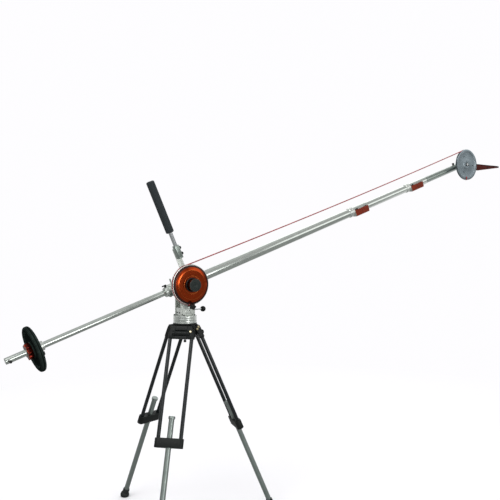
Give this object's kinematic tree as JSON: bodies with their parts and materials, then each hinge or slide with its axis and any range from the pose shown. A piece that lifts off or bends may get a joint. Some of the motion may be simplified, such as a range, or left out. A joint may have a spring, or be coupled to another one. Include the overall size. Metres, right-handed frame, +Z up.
{
  "type": "camera jib crane",
  "caption": "Telescoping camera jib on a tripod, with a levelling cord over two pulleys, a tilt handle and a sliding counterweight.",
  "frame": {"origin": "on the floor, at the middle of the standing crane's overall box", "axes": "+Z up; the boom rises towards +X; the pulleys, the drag disc and the handle are on the -Y side"},
  "size_m": [3.373, 0.8438, 2.0384],
  "materials": {
    "satin_aluminium": "satin anodised",
    "dark_aluminium": "darker satin anodised",
    "black_casting": "black painted casting",
    "black_plastic": "matt",
    "black_tube": "black anodised",
    "copper_anodised": "copper-orange anodised",
    "maroon_anodised": "dark red anodised",
    "red_collar": "orange-red anodised",
    "bright_steel": "bright turned",
    "cast_iron": "black painted",
    "grip_foam": "soft foam",
    "foot_rubber": "matt",
    "cord": "braided, red with pale flecks"
  },
  "bodies": {
    "tripod_head": {"crown": "black_casting", "base_ring": "satin_aluminium"},
    "tie_down": {"tie_down": "black_plastic"},
    "turntable": {"turn_base": "satin_aluminium", "yoke_near": "satin_aluminium", "yoke_far": "satin_aluminium", "pivot_axle": "bright_steel", "drag_disc": "copper_anodised"},
    "pan_lever": {"pan_lever": "black_plastic"},
    "star_knob": {"star_knob": "black_plastic"},
    "hub_knob": {"hub_knob": "copper_anodised"},
    "handle": {"head_pulley": "satin_aluminium", "handle_bar": "satin_aluminium", "handle_clamp": "dark_aluminium", "cord_wrap_head": "cord"},
    "handle_screw": {"handle_screw": "black_plastic"},
    "handle_stick": {"handle_rod": "satin_aluminium", "handle_grip": "grip_foam"},
    "boom": {"head_block": "satin_aluminium", "outer_tube": "satin_aluminium", "outer_clamp": "maroon_anodised", "cord_rear": "cord"},
    "rear_lever": {"rear_lever": "black_plastic"},
    "outer_clamp_screw": {"outer_clamp_screw": "black_plastic"},
    "boom_middle": {"middle_tube": "satin_aluminium", "middle_clamp": "maroon_anodised", "cord_front": "cord"},
    "middle_clamp_screw": {"middle_clamp_screw": "black_plastic"},
    "boom_inner": {"inner_tube": "dark_aluminium", "end_block": "dark_aluminium"},
    "end_knob": {"end_knob": "black_plastic"},
    "level_axle": {"end_axle": "bright_steel"},
    "camera_head": {"end_pulley": "dark_aluminium", "camera_platform": "maroon_anodised", "cord_wrap_end": "cord"},
    "rear": {"rear_tube": "satin_aluminium", "end_pin": "bright_steel"},
    "weight": {"weight_plate": "cast_iron", "weight_collar": "red_collar", "weight_stop": "black_casting"},
    "weight_knob": {"weight_knob": "black_plastic"},
    "leg_right_upper": {"leg_right_fitting": "black_casting", "leg_right_tube_left": "black_tube", "leg_right_tube_right": "black_tube", "leg_right_collar": "black_casting"},
    "leg_right_lower": {"leg_right_lower_tube": "dark_aluminium", "leg_right_foot": "foot_rubber"},
    "leg_far_upper": {"leg_far_fitting": "black_casting", "leg_far_tube_left": "black_tube", "leg_far_tube_right": "black_tube", "leg_far_collar": "black_casting"},
    "leg_far_lower": {"leg_far_lower_tube": "dark_aluminium", "leg_far_foot": "foot_rubber"},
    "leg_near_upper": {"leg_near_fitting": "black_casting", "leg_near_tube_left": "black_tube", "leg_near_tube_right": "black_tube", "leg_near_collar": "black_casting"},
    "leg_near_lower": {"leg_near_lower_tube": "dark_aluminium", "leg_near_foot": "foot_rubber"}
  },
  "joints": [
    {"name": "pan", "type": "hinge", "parent": "tripod_head", "child": "turntable", "pos_m": [-0.80767, -0.05731, 1.02], "axis": [0, 0, 1], "continuous": true},
    {"name": "boom_tilt", "type": "hinge", "parent": "turntable", "child": "boom", "pos_m": [-0.80767, -0.05731, 1.2], "axis": [0, -1, 0], "range_deg": [-54, 35]},
    {"name": "handle_tilt", "type": "hinge", "parent": "turntable", "child": "handle", "pos_m": [-0.80767, -0.05731, 1.2], "axis": [0, -1, 0], "range_deg": [-30, 45], "deforming": ["cord_wrap_head"]},
    {"name": "middle_slide", "type": "slide", "parent": "boom", "child": "boom_middle", "axis": [0.9449, 0, 0.3272], "range_m": [-0.34, 0.1], "deforming": ["cord_rear"]},
    {"name": "inner_slide", "type": "slide", "parent": "boom_middle", "child": "boom_inner", "axis": [0.9449, 0, 0.3272], "range_m": [-0.27, 0.1], "deforming": ["cord_front"]},
    {"name": "end_level", "type": "hinge", "parent": "boom_inner", "child": "level_axle", "pos_m": [1.31752, -0.05731, 1.93591], "axis": [0, -1, 0], "range_deg": [-35, 54]},
    {"name": "camera_tilt", "type": "hinge", "parent": "level_axle", "child": "camera_head", "pos_m": [1.31752, -0.05731, 1.93591], "axis": [0, -1, 0], "range_deg": [-30, 45], "deforming": ["cord_wrap_end"]},
    {"name": "rear_slide", "type": "slide", "parent": "boom", "child": "rear", "axis": [-0.9449, 0, -0.3272], "range_m": [0, 0.05]},
    {"name": "weight_slide", "type": "slide", "parent": "rear", "child": "weight", "axis": [0.9449, 0, 0.3272], "range_m": [-0.05, 0.2]},
    {"name": "weight_knob_turn", "type": "hinge", "parent": "weight", "child": "weight_knob", "pos_m": [-1.53264, -0.05731, 0.94896], "axis": [-0.3272, 0, 0.9449], "continuous": true},
    {"name": "rear_lever_turn", "type": "hinge", "parent": "boom", "child": "rear_lever", "pos_m": [-0.90973, -0.05731, 1.16466], "axis": [-0.3272, 0, 0.9449], "range_deg": [-40, 40]},
    {"name": "handle_rod_slide", "type": "slide", "parent": "handle", "child": "handle_stick", "axis": [-0.4083, 0, 0.9128], "range_m": [0, 0.05]},
    {"name": "handle_screw_turn", "type": "hinge", "parent": "handle", "child": "handle_screw", "pos_m": [-0.8873, -0.11931, 1.378], "axis": [0.9128, 0, 0.4083], "continuous": true},
    {"name": "outer_clamp_screw_turn", "type": "hinge", "parent": "boom", "child": "outer_clamp_screw", "pos_m": [0.34356, -0.08576, 1.59865], "axis": [-0.3272, 0, 0.9449], "continuous": true},
    {"name": "middle_clamp_screw_turn", "type": "hinge", "parent": "boom_middle", "child": "middle_clamp_screw", "pos_m": [0.82832, -0.08336, 1.76651], "axis": [-0.3272, 0, 0.9449], "continuous": true},
    {"name": "end_knob_turn", "type": "hinge", "parent": "boom_inner", "child": "end_knob", "pos_m": [1.25799, -0.05731, 1.9153], "axis": [-0.3272, 0, 0.9449], "continuous": true},
    {"name": "hub_knob_turn", "type": "hinge", "parent": "turntable", "child": "hub_knob", "pos_m": [-0.80767, -0.14731, 1.2], "axis": [0, -1, 0], "continuous": true},
    {"name": "star_knob_turn", "type": "hinge", "parent": "turntable", "child": "star_knob", "pos_m": [-0.80767, -0.13731, 1.092], "axis": [0, -1, 0], "continuous": true},
    {"name": "pan_lever_swing", "type": "hinge", "parent": "turntable", "child": "pan_lever", "pos_m": [-0.78567, -0.05731, 1.069], "axis": [0, 0, 1], "range_deg": [-35, 35]},
    {"name": "tie_down_turn", "type": "hinge", "parent": "tripod_head", "child": "tie_down", "pos_m": [-0.80767, -0.05731, 0.936], "axis": [0, 0, 1], "continuous": true},
    {"name": "leg_right_fold", "type": "hinge", "parent": "tripod_head", "child": "leg_right_upper", "pos_m": [-0.73587, -0.07521, 0.96], "axis": [0.2419, 0.9703, 0], "range_deg": [0, 23]},
    {"name": "leg_right_slide", "type": "slide", "parent": "leg_right_upper", "child": "leg_right_lower", "axis": [-0.3854, 0.0961, 0.9178], "range_m": [-0.08, 0.3]},
    {"name": "leg_far_fold", "type": "hinge", "parent": "tripod_head", "child": "leg_far_upper", "pos_m": [-0.82807, 0.01383, 0.96], "axis": [-0.9613, -0.2756, 0], "range_deg": [0, 23]},
    {"name": "leg_far_slide", "type": "slide", "parent": "leg_far_upper", "child": "leg_far_lower", "axis": [0.1095, -0.3818, 0.9178], "range_m": [-0.08, 0.3]},
    {"name": "leg_near_fold", "type": "hinge", "parent": "tripod_head", "child": "leg_near_upper", "pos_m": [-0.85908, -0.11054, 0.96], "axis": [0.7193, -0.6947, 0], "range_deg": [0, 23]},
    {"name": "leg_near_slide", "type": "slide", "parent": "leg_near_upper", "child": "leg_near_lower", "axis": [0.2759, 0.2857, 0.9178], "range_m": [-0.08, 0.3]}
  ],
  "couplings": [
    {"joint": "end_level", "follows": "boom_tilt", "ratio": -1},
    {"joint": "camera_tilt", "follows": "handle_tilt", "ratio": 1}
  ]
}
